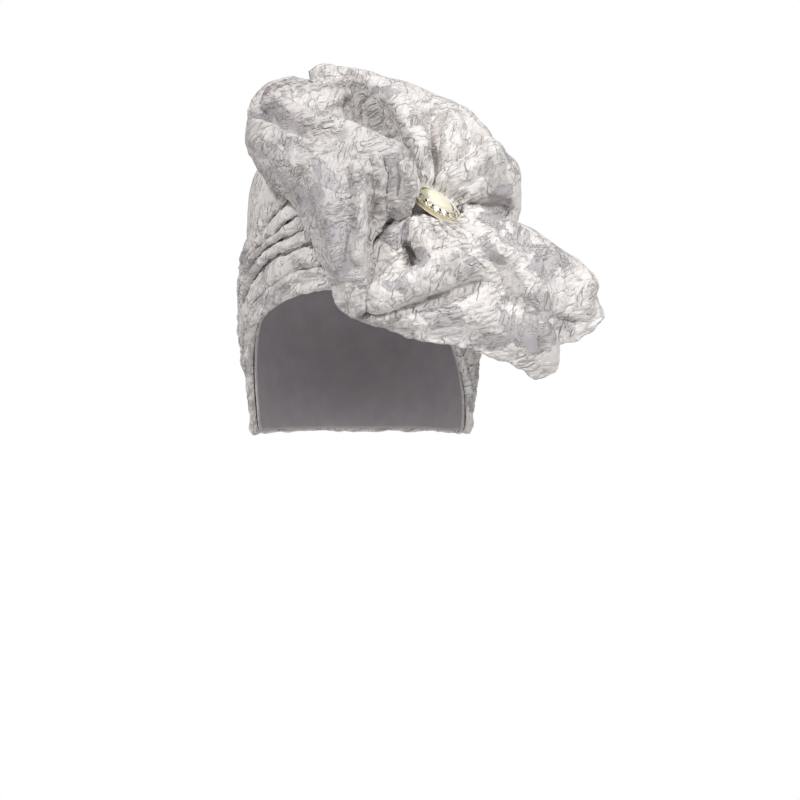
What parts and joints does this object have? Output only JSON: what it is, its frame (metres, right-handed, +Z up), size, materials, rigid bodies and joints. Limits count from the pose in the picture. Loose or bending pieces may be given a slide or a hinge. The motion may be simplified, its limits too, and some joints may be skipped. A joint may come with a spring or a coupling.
{
  "type": "turban cap",
  "caption": "Pre-tied turban cap with overlapping pleats over the forehead, a large gathered cloth bow and an oval brooch.",
  "frame": {"origin": "centre of the head opening at brow height", "axes": "+Z up, the wearer faces -Y, +X to the viewer's right (the wearer's left)"},
  "size_m": [0.2386, 0.2317, 0.2432],
  "materials": {
    "brocade": "crinkled matt jacquard with smooth satin patches, silver grey",
    "gilt": "polished pale gold plating",
    "ivory_stone": "smooth cream cabochon"
  },
  "bodies": {
    "root": {"cap_crown": "brocade", "rim_band": "brocade", "pleat_1": "brocade", "pleat_2": "brocade", "pleat_3": "brocade", "pleat_4": "brocade", "pleat_5": "brocade", "gather_knot": "brocade", "left_loop": "brocade", "front_wing": "brocade", "top_fan": "brocade", "brooch_setting": "gilt", "brooch_stone": "ivory_stone", "brooch_pin": "gilt"}
  },
  "joints": []
}
